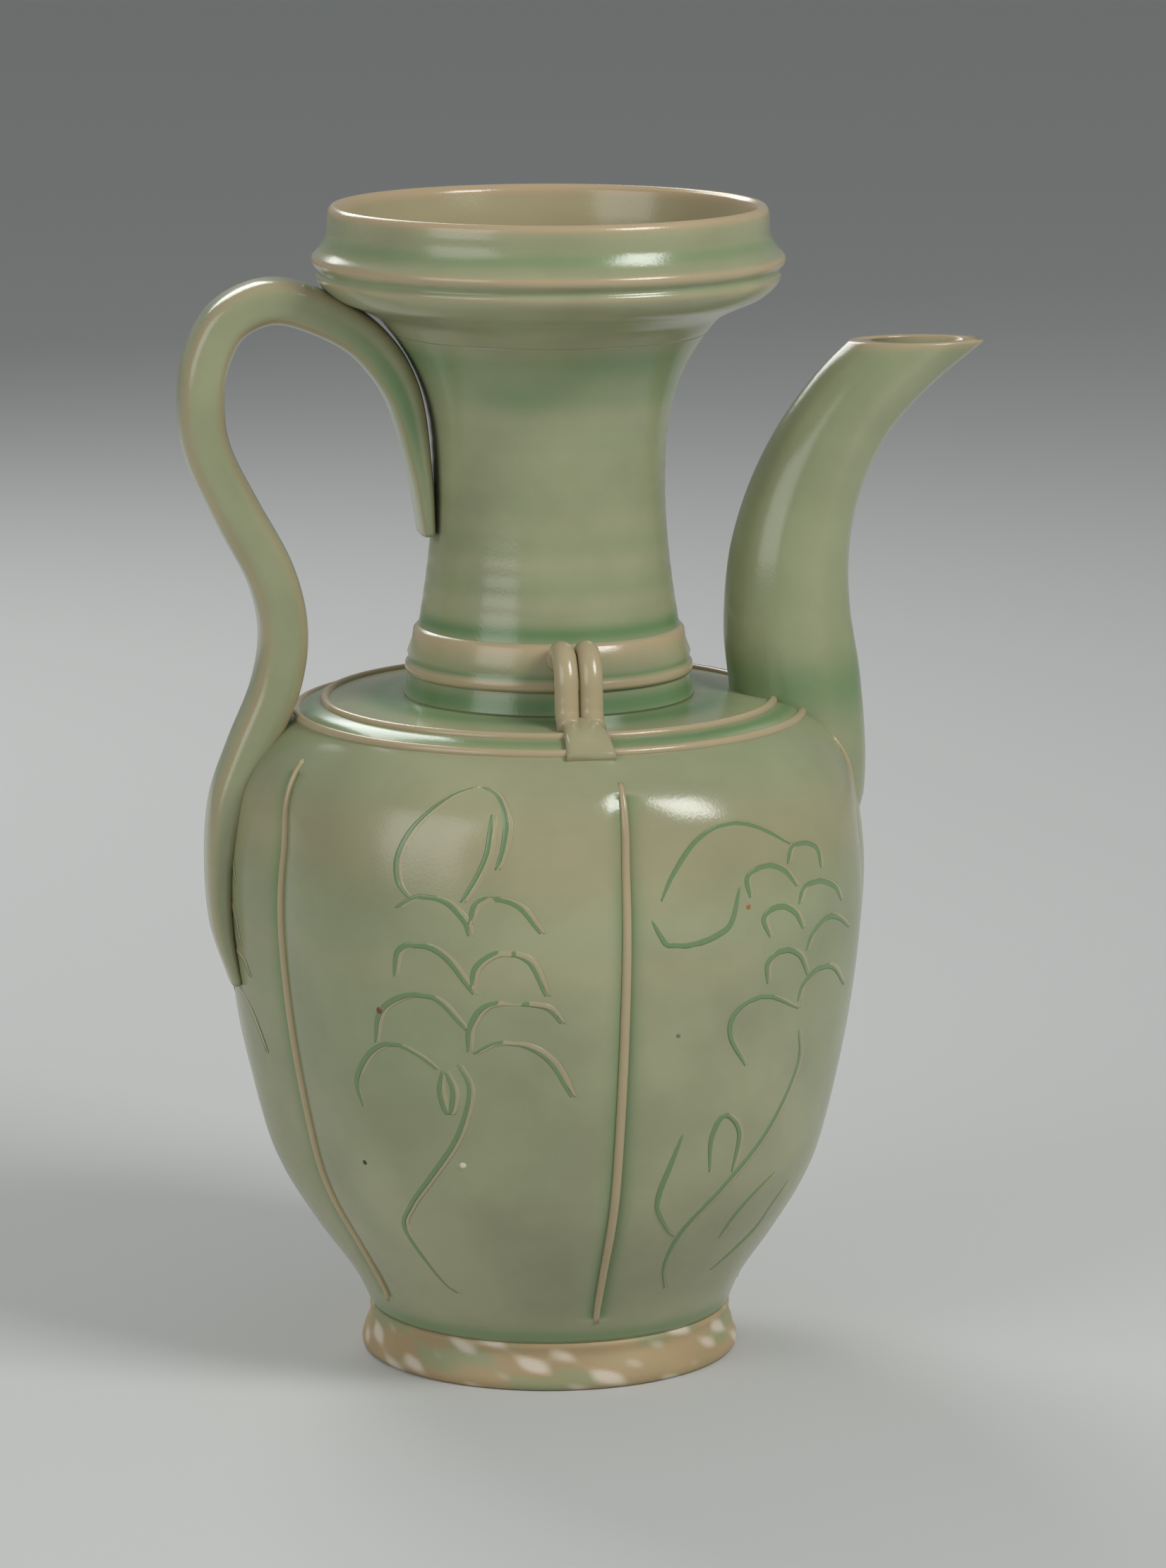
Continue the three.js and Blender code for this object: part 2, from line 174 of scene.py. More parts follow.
# Soft lamps: place and width in metres, and watts.
LAMPS = {
    "key": ((0.75, -0.8, 1.0), 0.5, 11.0),
    "fill": ((-1.0, -0.7, 0.6), 0.8, 5.0),
    "rim": ((-0.3, 1.0, 0.9), 0.6, 6.0),
}
# What the lamps aim at, about the middle of the ewer, in metres.
LAMP_TARGET = (0, 0, 0.12)

# The room round the ewer, and where the view ends. Sizes in metres.
FLOOR_SIZE = 60
FLOOR_COLOUR = "#C9CAC8"
ROOM_COLOUR = "#D5D8DA"
ROOM_STRENGTH = 0.35
VIEW_END = 20

# Glaze: its clouds, where they fade and how dark they are, its grain with its depth in metres, how it bends
# light, and how rough it is where glossy, on the worn foot and in a kiln mark.
CLOUDS_PER_METRE = 40.0
CLOUD_EDGES = (0.35, 0.65)
CLOUD_SHADE = 0.82
GRAIN_PER_METRE = 1500.0
GRAIN_STRENGTH = 0.08
GRAIN_DEPTH = 0.0003
GLAZE_IOR = 1.5
GLOSSY, WORN, DULL = 0.2, 0.5, 0.35

# The foot's patches: still glazed, and worn white.
FOOT_GREEN = "#8E9A72"
FOOT_WHITE = "#DDD2C0"

# Blender's numbers for the colour sockets of its Mix node.
MIX_A, MIX_B, MIX_RESULT = 6, 7, 2


def to_linear(hex_colour):
    """An sRGB hex colour as linear red, green, blue and alpha."""
    parts = [int(hex_colour[i:i + 2], 16) / 255 for i in (1, 3, 5)]
    return [c / 12.92 if c <= 0.04045 else ((c + 0.055) / 1.055) ** 2.4 for c in parts] + [1.0]


def add_node(tree, kind, settings=None, inputs=None, links=None):
    """A node with its settings, its input values, and links from other nodes' sockets."""
    node = tree.nodes.new(kind)
    for name, value in (settings or {}).items():
        setattr(node, name, value)
    for name, value in (inputs or {}).items():
        node.inputs[name].default_value = value
    for name, socket in (links or {}).items():
        tree.links.new(socket, node.inputs[name])
    return node


def glazed_stoneware(name, glaze, pooled, thin, roughness):
    """Celadon glaze over stoneware: glossy, greener where it pools and tan where it runs thin; in a few
    places these colours also paint shade and highlights.
    """
    material = bpy.data.materials.new(name)
    material.use_nodes = True
    tree = material.node_tree
    tree.nodes.clear()
    place = add_node(tree, "ShaderNodeTexCoord").outputs["Object"]
    # Cloudy patches about 25 mm across, where the kiln's air changed the glaze.
    clouds = add_node(
        tree, "ShaderNodeTexNoise", inputs={"Scale": CLOUDS_PER_METRE, "Detail": 4.0},
        links={"Vector": place},
    )
    # Grain about 0.7 mm across, which breaks up the gloss a little.
    grain = add_node(
        tree, "ShaderNodeTexNoise", inputs={"Scale": GRAIN_PER_METRE, "Detail": 2.0},
        links={"Vector": place},
    )
    mottled = add_node(tree, "ShaderNodeValToRGB", links={"Fac": clouds.outputs["Fac"]})
    dark, light = mottled.color_ramp.elements
    dark.position, light.position = CLOUD_EDGES
    dark.color = [CLOUD_SHADE * c for c in to_linear(glaze)[:3]] + [1]
    light.color = to_linear(glaze)
    pool = add_node(tree, "ShaderNodeAttribute", {"attribute_name": "pool"})
    edge = add_node(tree, "ShaderNodeAttribute", {"attribute_name": "thin"})
    pooled_mix = add_node(
        tree, "ShaderNodeMix", {"data_type": "RGBA"}, inputs={MIX_B: to_linear(pooled)},
        links={"Factor": pool.outputs["Fac"], MIX_A: mottled.outputs["Color"]},
    )
    thin_mix = add_node(
        tree, "ShaderNodeMix", {"data_type": "RGBA"}, inputs={MIX_B: to_linear(thin)},
        links={"Factor": edge.outputs["Fac"], MIX_A: pooled_mix.outputs[MIX_RESULT]},
    )
    bump = add_node(
        tree, "ShaderNodeBump", inputs={"Strength": GRAIN_STRENGTH, "Distance": GRAIN_DEPTH},
        links={"Height": grain.outputs["Fac"]},
    )
    shader = add_node(
        tree, "ShaderNodeBsdfPrincipled", inputs={"Roughness": roughness, "IOR": GLAZE_IOR},
        links={"Base Color": thin_mix.outputs[MIX_RESULT], "Normal": bump.outputs["Normal"]},
    )
    add_node(tree, "ShaderNodeOutputMaterial", links={"Surface": shader.outputs["BSDF"]})
    return material


def pale_floor():
    """Matt pale grey paper, which shows the ewer's shadow and nothing else."""
    material = bpy.data.materials.new("pale_paper_floor")
    material.use_nodes = True
    shader = material.node_tree.nodes["Principled BSDF"]
    shader.inputs["Base Color"].default_value = to_linear(FLOOR_COLOUR)
    shader.inputs["Roughness"].default_value = 0.9
    return material


def catmull(points, count):
    """Evenly spread points along a smooth curve through a few chosen ones."""
    points = np.array(points, float)
    padded = np.vstack([2 * points[0] - points[1], points, 2 * points[-1] - points[-2]])
    dense = []
    for i in range(1, len(padded) - 2):
        a, b, c, d = padded[i - 1:i + 3]
        t = np.linspace(0, 1, 24, endpoint=False)[:, None]
        line = 2 * b + (c - a) * t
        dense.append(0.5 * (line + (2 * a - 5 * b + 4 * c - d) * t**2 + (3 * b - a - 3 * c + d) * t**3))
    dense = np.vstack([*dense, points[-1:]])
    run = np.concatenate([[0], np.cumsum(np.linalg.norm(np.diff(dense, axis=0), axis=1))])
    wanted = np.linspace(0, run[-1], count)
    return np.stack([np.interp(wanted, run, dense[:, k]) for k in range(dense.shape[1])], axis=1)


def spread(values, count):
    """Values spread evenly along a path, read off at count places."""
    return np.interp(np.linspace(0, len(values) - 1, count), range(len(values)), values)


def step(x, low, high):
    """A smooth rise from 0 at low to 1 at high."""
    t = np.clip((x - low) / (high - low), 0, 1)
    return t * t * (3 - 2 * t)


def near(x, centre, reach):
    """1 at the centre, fading smoothly to nearly nothing at twice the reach."""
    return np.exp(-(((x - centre) / reach) ** 2))


def grid_piece(name, points, material, slot, pool=0.0, thin=0.0, capped=False, stands_in=True):
    """A smooth piece from rows of points; each row closes on itself.

    Where it is capped the first and last rows end it, and otherwise the last row joins the first.
    pool and thin say where the glaze collects and where it runs thin, for all points or for each; in a few
    places they also carry painted shade and painted highlights.
    A piece that stands in for a node has the node's name.
    """
    node_names = [name] if stands_in else []
    rows, columns = points.shape[:2]
    flat = points.reshape(-1, 3) * MM + np.array([AXIS_X * MM, 0, 0])
    bands = rows - 1 if capped else rows
    i, k = np.meshgrid(np.arange(bands), np.arange(columns), indexing="ij")
    up, right = (i + 1) % rows, (k + 1) % columns
    corners = [i * columns + k, i * columns + right, up * columns + right, up * columns + k]
    faces = np.stack(corners, axis=-1).reshape(-1, 4).tolist()
    if capped:
        last = (rows - 1) * columns
        faces += [list(range(columns))[::-1], list(range(last, last + columns))]
    mesh = bpy.data.meshes.new(name)
    mesh.from_pydata(flat.tolist(), [], faces)
    mesh.update()
    for attribute, values in (("pool", pool), ("thin", thin)):
        layer = mesh.attributes.new(attribute, "FLOAT", "POINT")
        amounts = np.clip(np.broadcast_to(values, (rows, columns)), 0, 1).reshape(-1)
        layer.data.foreach_set("value", amounts.astype(np.float32))
    mesh.shade_smooth()
    mesh.materials.append(material)
    piece = bpy.data.objects.new(name, mesh)
    bpy.context.collection.objects.link(piece)
    make_outward(mesh)
    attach(piece, "root")
    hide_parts(*node_names)


def make_outward(mesh):
    """Turns the faces over where they point in."""
    places = np.array([v.co for v in mesh.vertices])
    volume = 0.0
    for polygon in mesh.polygons:
        a, b, c = (places[v] for v in polygon.vertices[:3])
        volume += np.dot(polygon.center, np.cross(b - a, c - a))
    if volume < 0:
        mesh.flip_normals()


def glazed_piece(name, points, **options):
    """A piece in the one celadon glaze that all the upper pieces share."""
    grid_piece(name, points, glaze_material(), "celadon_glaze", **options)


def ring_angles(columns):
    """Angles once round the axis from the front rib."""
    return FRONT_RIB + np.linspace(0, 2 * math.pi, columns, endpoint=False)


def circle(sides):
    """Angles once round a section."""
    return np.linspace(0, 2 * math.pi, sides, endpoint=False)


def lobe_strength(z):
    """How strongly the lobes show at a height: they fade towards the shoulder and the foot."""
    return step(SHOULDER_HEIGHT - z, *SHOULDER_FADE) * step(z - FOOT_HEIGHT, *FOOT_FADE)


def lobe_factor(angle, z):
    """How much of its radius the body keeps: 1 on a lobe, less in the valley between two."""
    across = np.abs(np.sin((angle - FRONT_RIB) * LOBE_COUNT / 2))
    return 1 - LOBE_DEPTH * lobe_strength(z) * (1 - across) ** 1.5


def turned(profile, columns, lobed=False):
    """Rows of points of a profile of radius and height, turned about the axis."""
    radius, height = profile[:, :1], profile[:, 1:2]
    angle = ring_angles(columns)[None, :]
    if lobed:
        radius = radius * lobe_factor(angle, height)
    radius = np.broadcast_to(radius, (len(profile), columns))
    height = np.broadcast_to(height, radius.shape)
    return np.stack([radius * np.cos(angle), radius * np.sin(angle), height], axis=-1)


def along(centres):
    """The direction of a path at each of its points."""
    direction = np.gradient(centres, axis=0)
    return direction / np.linalg.norm(direction, axis=1, keepdims=True)


def swept(centres, half_thickness, half_width, beside, sides, power=2.0):
    """Rows of points round a path. beside is the direction in which half_width is measured."""
    beside = np.array(beside, float)
    across = np.cross(beside, along(centres))
    across /= np.linalg.norm(across, axis=1, keepdims=True)
    c, s = np.cos(circle(sides)), np.sin(circle(sides))
    u = np.sign(c) * np.abs(c) ** (2 / power) * np.reshape(half_thickness, (-1, 1))
    v = np.sign(s) * np.abs(s) ** (2 / power) * np.reshape(half_width, (-1, 1))
    return centres[:, None, :] + u[..., None] * across[:, None, :] + v[..., None] * beside


def ribbon(centres, out, half_width, half_thickness, sides=8):
    """Rows of points round a flat ribbon that lies on a surface facing out."""
    beside = np.cross(out, along(centres))
    beside /= np.linalg.norm(beside, axis=1, keepdims=True)
    u = half_thickness * np.cos(circle(sides))[None, :, None]
    v = half_width[:, None, None] * np.sin(circle(sides))[None, :, None]
    return centres[:, None, :] + u * out[:, None, :] + v * beside[:, None, :]


def climbing_outline(count, bottom):
    """The body's outline from a height up to CLIMB_TOP."""
    outline = catmull(BODY_OUTLINE, count)
    return outline[(outline[:, 1] > bottom) & (outline[:, 1] < CLIMB_TOP)]


BODY_CLIMB = climbing_outline(300, 0)


def body_radius(angle, z):
    """The glazed surface's radius at an angle and a height."""
    return np.interp(z, BODY_CLIMB[:, 1], BODY_CLIMB[:, 0]) * lobe_factor(angle, z)


def neck_radius(z):
    """The neck's radius at a height: it flares slowly below its waist and quickly above."""
    below = z < NECK_WAIST_HEIGHT
    span = np.where(below, NECK_WAIST_HEIGHT - SHOULDER_HEIGHT, MOUTH_JOINT - NECK_WAIST_HEIGHT)
    share = np.abs(z - NECK_WAIST_HEIGHT) / span
    foot_flare = (NECK_BASE_RADIUS - NECK_WAIST_RADIUS) * share**1.7
    top_flare = (NECK_TOP_RADIUS - NECK_WAIST_RADIUS) * share**2.9
    return NECK_WAIST_RADIUS + np.where(below, foot_flare, top_flare)


def height_wave(z, angle, pitch, turn):
    """A slow wobble along the height and round the axis, as a potter's fingers leave it."""
    main = np.sin(z * 2 * math.pi / pitch + turn * np.sin(angle))
    other = np.sin(z * 2.3 * math.pi / pitch + 1.7)
    return main * 0.5 + other * 0.5


class EwerLooks(bpy.types.PropertyGroup):
    """Sizes and colours of the ewer that a user would change."""

    glaze: bpy.props.StringProperty(
        name="Glaze", description="Colour of the celadon glaze on the flat of a lobe", default="#A4A683")
    pooled: bpy.props.StringProperty(
        name="Pooled glaze", description="Colour of the glaze where it collects", default="#6C8A5E")
    thin: bpy.props.StringProperty(
        name="Thin glaze", description="Colour of the clay through thin glaze on an edge", default="#BFA583")
    clay: bpy.props.StringProperty(
        name="Foot", description="Colour of the worn foot", default="#B39C74")
    groove_width: bpy.props.FloatProperty(
        name="Groove width", description="Width of the groove along each rib", default=2.4 * MM,
        unit="LENGTH")
    incised_width: bpy.props.FloatProperty(
        name="Incised width", description="Width of an incised line", default=1.3 * MM, unit="LENGTH")


def looks():
    """The sizes and colours that the scene holds."""
    return bpy.context.scene.ewer_looks


def glaze_material():
    """The shared celadon glaze, made when it is first asked for."""
    name = "celadon_glaze_over_stoneware"
    known = bpy.data.materials.get(name)
    return known or glazed_stoneware(name, looks().glaze, looks().pooled, looks().thin, GLOSSY)


class EWER_OT_foot(bpy.types.Operator):
    """Turned foot ring, thinly glazed and worn to the clay"""
    bl_idname = "ewer.foot"
    bl_label = "Foot"

    def execute(self, context):
        profile = catmull(FOOT_SECTION, 60)[:-1]
        angle, z = ring_angles(FINE_AROUND)[None, :], profile[:, 1:2]
        # Uneven patches, worn white or still green, from waves that don't repeat together.
        wear = np.sin(5 * angle + 1.3 + 0.5 * z) + np.sin(11 * angle - 0.7 * z) + np.sin(23 * angle + 1.1 * z)
        glazed = np.sin(3 * angle + 0.4 * z) + np.sin(7 * angle - 0.6 * z + 2) + 0.6 * np.sin(17 * angle + z)
        worn = 0.75 * step(wear, 0.5, 2.4)
        pool = 0.7 * step(glazed, 0.0, 1.6)
        material = glazed_stoneware("worn_glazed_foot", looks().clay, FOOT_GREEN, FOOT_WHITE, WORN)
        grid_piece("foot_ring", turned(profile, FINE_AROUND), material, "bare_clay", pool=pool, thin=worn)
        return {"FINISHED"}


class EWER_OT_body(bpy.types.Operator):
    """Lobed body with a groove of pooled glaze along each rib"""
    bl_idname = "ewer.body"
    bl_label = "Body"

    def execute(self, context):
        outer = catmull(BODY_OUTLINE, 190)
        profile = self.wall(outer)
        points = turned(profile, FINE_AROUND, lobed=True)
        angle = ring_angles(FINE_AROUND)[None, :]
        distance, z = profile[:, :1], profile[:, 1:2]
        groove = self.groove(angle, distance, z)
        sink = GROOVE_DEPTH * groove * self.is_outer(len(profile), len(outer))
        radius = np.maximum(np.linalg.norm(points[..., :2], axis=-1), 0.5)
        points[..., :2] *= (1 - sink / radius)[..., None]
        # Glaze collects between the rings, round the neck, above the foot, and in slow runs down the wall.
        ring_gap = sum(RING_PLACES.values()) / 2
        on_shoulder, by_neck = z > 130, z > 136
        between_rings = near(distance, ring_gap, 1.6) * on_shoulder
        round_neck = near(distance, 35, 4) * by_neck
        above_foot = near(z, 11, 2.0)
        runs = (0.14 + 0.14 * np.sin(angle * 3 + z * 0.03)) * step(z, 20, 95)
        pool = 0.9 * groove + 0.75 * (between_rings + round_neck) + 0.7 * above_foot + runs
        # The pale band where the shoulder turns is partly thin glaze and partly a painted highlight; a
        # fainter pale band lies on one side of the belly.
        thin = 0.25 * near(z, 118, 9) + 0.12 * near(z, 93, 4) * (np.cos(angle + 2.2) > 0.4)
        glazed_piece("body", points, pool=pool, thin=thin, capped=True)
        return {"FINISHED"}

    @staticmethod
    def wall(outer):
        """Radius and height from under the base, up outside, through the bore and down to the floor."""
        inner = catmull(BODY_OUTLINE, 40)[::-1]
        above_floor = inner[:, 1] > FOOT_HEIGHT + FLOOR_THICKNESS
        below_shoulder = inner[:, 1] < HOLLOW_TOP
        inner = inner[above_floor & below_shoulder] - np.array([BODY_WALL, 0])
        bore = [(BODY_BORE_RADIUS, SHOULDER_HEIGHT), (BODY_BORE_RADIUS, SHOULDER_HEIGHT - BODY_WALL)]
        # The first and last rows are small circles about the axis, which the caps close.
        cap_radius = 1.0
        start, end = [(cap_radius, FOOT_HEIGHT)], [(cap_radius, FOOT_HEIGHT + FLOOR_THICKNESS)]
        return np.vstack([start, outer, bore, inner, end])

    @staticmethod
    def groove(angle, distance, z):
        """How deep in the groove beside a rib each point lies, from 0 to 1."""
        turn = np.abs((((angle - FRONT_RIB) * LOBE_COUNT / 2 + math.pi / 2) % math.pi) - math.pi / 2)
        from_rib = turn * 2 / LOBE_COUNT * distance
        on_wall = (z < SHOULDER_BOTTOM) & (z > GROOVE_BOTTOM)
        return near(from_rib, 0, looks().groove_width / MM) * on_wall

    @staticmethod
    def is_outer(rows, outer_rows):
        """1 for the rows of the outer wall, which follow the first one, and 0 for the rest."""
        number = np.arange(rows)[:, None]
        return (number >= 1) & (number <= outer_rows)


class EWER_OT_ribs(bpy.types.Operator):
    """Raised threads of clay between the lobes, where the glaze runs thin"""
    bl_idname = "ewer.ribs"
    bl_label = "Ribs"

    def execute(self, context):
        valley = climbing_outline(120, RIB_BOTTOM)
        distance, z = valley[:, 0], valley[:, 1]
        # The thread keeps its size nearly to its ends, which round off.
        ends = np.sqrt(np.sin(np.linspace(0.08, math.pi - 0.08, len(valley)))) ** 0.4
        size = RIB_RADIUS * ends
        for number in range(LOBE_COUNT):
            angle = FRONT_RIB + number * LOBE_PITCH
            radius = distance * lobe_factor(angle, z) - RIB_SUNK
            centres = np.stack([radius * math.cos(angle), radius * math.sin(angle), z], axis=1)
            points = swept(centres, size, size, (-math.sin(angle), math.cos(angle), 0), 16)
            glazed_piece(f"rib_{number + 1}", points, thin=0.6, capped=True)
        return {"FINISHED"}


# Strokes of the traditional lotus sprays, as places in the photograph: the spray on the left front panel.
TALL_SPRAY_PX = {
    "bud_left": [(683, 1095), (645, 1112), (602, 1150), (581, 1192), (581, 1227), (595, 1250)],
    "bud_right": [(692, 1097), (713, 1112), (725, 1146), (723, 1181), (713, 1211)],
    "bud_inner": [(706, 1135), (702, 1185), (690, 1219), (667, 1257)],
    "tier_1_left": [(579, 1265), (610, 1250), (645, 1257), (671, 1284), (677, 1305)],
    "tier_1_right": [(677, 1288), (687, 1261), (710, 1253), (744, 1265), (773, 1303)],
    "tier_2_left": [(576, 1364), (583, 1326), (614, 1318), (648, 1338), (683, 1389)],
    "tier_2_right": [(679, 1384), (687, 1349), (717, 1330), (756, 1341), (780, 1393)],
    "tier_3_left": [(549, 1460), (557, 1414), (591, 1391), (633, 1395), (673, 1441)],
    "tier_3_right": [(675, 1472), (679, 1433), (706, 1403), (775, 1407), (801, 1433)],
    "tier_4_left": [(530, 1554), (522, 1514), (541, 1475), (572, 1460), (606, 1475), (633, 1498)],
    "tier_4_right": [(683, 1475), (710, 1460), (748, 1462), (786, 1487), (815, 1540)],
    "stem": [
        (662, 1491), (677, 1530), (659, 1597), (623, 1654), (594, 1697), (587, 1733), (634, 1808),
        (655, 1829),
    ],
    "small_leaf": [(640, 1500), (637, 1530), (648, 1561), (655, 1530), (644, 1500)],
}
# The spray on the right front panel.
BENT_SPRAY_PX = {
    "leaf": [(941, 1259), (957, 1221), (985, 1177), (1017, 1154), (1046, 1149), (1078, 1157), (1113, 1177)],
    "petal": [(929, 1288), (941, 1310), (953, 1323), (985, 1320), (1014, 1307), (1033, 1288), (1043, 1237)],
    "top_right": [(1108, 1205), (1116, 1183), (1135, 1177), (1151, 1186), (1156, 1212)],
    "tier_1_left": [(1057, 1253), (1054, 1224), (1078, 1208), (1103, 1215), (1121, 1237)],
    "tier_1_right": [(1124, 1263), (1132, 1240), (1154, 1231), (1177, 1240), (1186, 1259)],
    "tier_2_left": [(1084, 1310), (1076, 1282), (1097, 1266), (1119, 1275), (1130, 1298)],
    "tier_2_right": [(1135, 1330), (1145, 1304), (1167, 1282), (1186, 1285), (1199, 1298)],
    "tier_3_left": [(1081, 1377), (1082, 1346), (1103, 1328), (1126, 1336), (1137, 1365)],
    "tier_3_right": [(1124, 1403), (1132, 1377), (1154, 1355), (1177, 1355), (1193, 1381)],
    "tier_4_left": [(1052, 1495), (1033, 1454), (1036, 1422), (1059, 1400), (1087, 1395), (1124, 1413)],
    "stem": [(1126, 1444), (1125, 1496), (1085, 1587), (1021, 1673), (970, 1734), (946, 1788), (948, 1823)],
    "loop_bud": [(1005, 1650), (1008, 1600), (1025, 1565), (1045, 1590), (1035, 1650)],
    "left_leaf": [(970, 1595), (954, 1641), (940, 1681), (938, 1708), (951, 1737), (959, 1745)],
    "right_leaf_upper": [(1096, 1651), (1069, 1678), (1042, 1710), (1018, 1748)],
    "right_leaf_lower": [(1116, 1665), (1096, 1694), (1069, 1734), (1010, 1796)],
}
# Each drawing with the lobe that it was drawn on, counted from the front rib towards the spout.
SPRAYS = ((TALL_SPRAY_PX, -1), (BENT_SPRAY_PX, 0))
FIRST_SPRAY_LOBE = -1


def on_body(places):
    """Where strokes seen in the photograph lie on the body: their angles and heights."""
    start_height, lowest, highest = 90.0, 12, 130
    # A stroke stays just inside the body's edge as the photograph shows it.
    edge = 0.985
    rounds = 6
    found = []
    for x, y in places:
        z = start_height
        for _ in range(rounds):
            radius = float(body_radius(FRONT_RIB, z)) / (1 - LOBE_DEPTH)
            side = np.clip((x - PHOTO_AXIS_X) / PHOTO_PIXELS_PER_MM / radius, -edge, edge)
            angle = math.asin(side)
            tilt = math.atan2(CAMERA_HEIGHT - z, CAMERA_DISTANCE)
            nearer = radius * math.cos(angle) * math.sin(tilt)
            z = float(np.clip((PHOTO_FOOT_Y - y) / PHOTO_PIXELS_PER_MM + nearer, lowest, highest))
        found.append((angle + CAMERA_AZIMUTH - math.pi / 2, z))
    return found


class EWER_OT_sprays(bpy.types.Operator):
    """Incised lotus sprays, two drawings by turns, as thin ribbons of darker pooled glaze"""
    bl_idname = "ewer.sprays"
    bl_label = "Incised sprays"

    def execute(self, context):
        for number in range(LOBE_COUNT):
            strokes, home = SPRAYS[number % len(SPRAYS)]
            turn = (FIRST_SPRAY_LOBE + number - home) * LOBE_PITCH
            for name, places in strokes.items():
                line = catmull([(angle + turn, z) for angle, z in on_body(places)], 40)
                self.add_stroke(f"spray_{number + 1}_{name}", line)
        return {"FINISHED"}

    @staticmethod
    def add_stroke(label, line):
        """The cut, filled with dark glaze, and beside it on one side a paler edge, partly thin glaze where
        the blade raised it and partly a painted highlight.
        """
        half, half_thickness = looks().incised_width / MM / 2, 0.09
        taper = half * np.sqrt(np.sin(np.linspace(0.06, math.pi - 0.06, len(line))))
        height = line[:, 1]
        # For each: how far beside the line and how far out it lies, and how pooled and thin its glaze is.
        # The edge's pale colour is partly a painted highlight along one side of the cut.
        kinds = {"cut": (0.0, 0.0, 0.9, 0.0), "edge": (1.4 * half, -0.04, 0.0, 0.35)}
        for suffix, (beside, raised, dark, light) in kinds.items():
            radius = body_radius(line[:, 0], height) + raised
            angle = line[:, 0] + beside / radius
            out = np.stack([np.cos(angle), np.sin(angle), 0 * angle], axis=1)
            centres = np.stack([radius * np.cos(angle), radius * np.sin(angle), height], axis=1)
            points = ribbon(centres, out, taper, half_thickness)
            glazed_piece(f"{label}_{suffix}", points, pool=dark, thin=light, capped=True, stands_in=False)


class EWER_OT_shoulder_rings(bpy.types.Operator):
    """Two raised rings on the shoulder"""
    bl_idname = "ewer.shoulder_rings"
    bl_label = "Shoulder rings"

    def execute(self, context):
        outline = catmull(BODY_OUTLINE, 400)
        shoulder = outline[outline[:, 1] > SHOULDER_BOTTOM][::-1]
        c, s = np.cos(circle(16)), np.sin(circle(16))
        for name, at in RING_PLACES.items():
            height = float(np.interp(at, shoulder[:, 0], shoulder[:, 1]))
            profile = np.stack([at + RING_RADIUS * c, height + RING_RADIUS * s], axis=1)
            glazed_piece(name, turned(profile, AROUND), thin=0.6)
        return {"FINISHED"}


class EWER_OT_neck(bpy.types.Operator):
    """Waisted neck with faint throwing lines, and the band at its foot"""
    bl_idname = "ewer.neck"
    bl_label = "Neck and band"

    def execute(self, context):
        self.add_tube()
        self.add_band()
        return {"FINISHED"}

    @staticmethod
    def add_tube():
        """The neck, with fine throwing lines in the clay and slower ones in the glaze."""
        z = np.linspace(SHOULDER_HEIGHT, MOUTH_JOINT, 220)
        wave = THROWING_LINE_DEPTH * height_wave(z, 0, THROWING_LINE_PITCH, 0)
        outer = np.stack([neck_radius(z) + wave, z], axis=1)
        down = z[::-6]
        inner = np.stack([neck_radius(down) - NECK_WALL, down], axis=1)
        profile = np.vstack([outer, inner])
        angle, height = ring_angles(AROUND)[None, :], profile[:, 1:2]
        lines = 0.14 + 0.12 * height_wave(height, angle, GLAZE_LINE_PITCH, 0.6)
        under_mouth = 0.5 * near(height, 207 + 2 * np.sin(angle * 4), 5)
        by_band = 0.8 * near(height, 155, 1.6) + 0.9 * near(height, 141, 2.2)
        glazed_piece("neck", turned(profile, AROUND), pool=lines + under_mouth + by_band)

    @staticmethod
    def add_band():
        """The band: a lower bead, a groove where glaze collects, and a wider upper bead."""
        low, high = float(neck_radius(BAND_BOTTOM)), float(neck_radius(BAND_TOP))
        # Radius and height, then how much glaze collects and how thin it runs there.
        section = np.array([
            (low - 0.9, BAND_BOTTOM, 0, 0), (low + 0.6, BAND_BOTTOM, 0, 0.3), (low + 0.9, 144.5, 0, 0.7),
            (low + 0.8, 145.6, 0, 0.5), (low + 0.1, 146.6, 0.8, 0), (low + 0.4, 147.8, 0.2, 0.1),
            (high + 1.3, 150.5, 0, 0.35), (high + 1.0, 152.6, 0, 0.75), (high + 0.3, BAND_TOP, 0, 0.3),
            (high - 0.9, BAND_TOP, 0, 0),
        ])
        points = turned(section[:, :2], AROUND)
        glazed_piece("neck_band", points, pool=section[:, 2:3], thin=section[:, 3:])


class EWER_OT_mouth(bpy.types.Operator):
    """Dish mouth: undercut, flange, concave band and rounded lip"""
    bl_idname = "ewer.mouth"
    bl_label = "Mouth"

    def execute(self, context):
        outside = catmull(MOUTH_OUTSIDE, 120)
        inside = catmull(MOUTH_INSIDE, 50)[1:]
        profile = np.vstack([outside, inside])
        z = profile[:, 1:2]
        is_outside = (np.arange(len(profile)) < len(outside))[:, None]
        # Thin on the lip and on the two ridges of the flange, collected in the hollows beside them.
        lip = near(z, 239.5, 1.1)
        ridge = near(z, 229.1, 0.8) + 0.5 * near(z, 225.2, 0.6)
        hollow = near(z, 233, 1.8) + 0.8 * near(z, 226.8, 0.5)
        pool = np.where(is_outside, 0.55 * hollow, 0.2)
        thin = 0.8 * lip + np.where(is_outside, 0.75 * ridge, 0.45)
        glazed_piece("mouth_dish", turned(profile, AROUND), pool=pool, thin=thin)
        return {"FINISHED"}


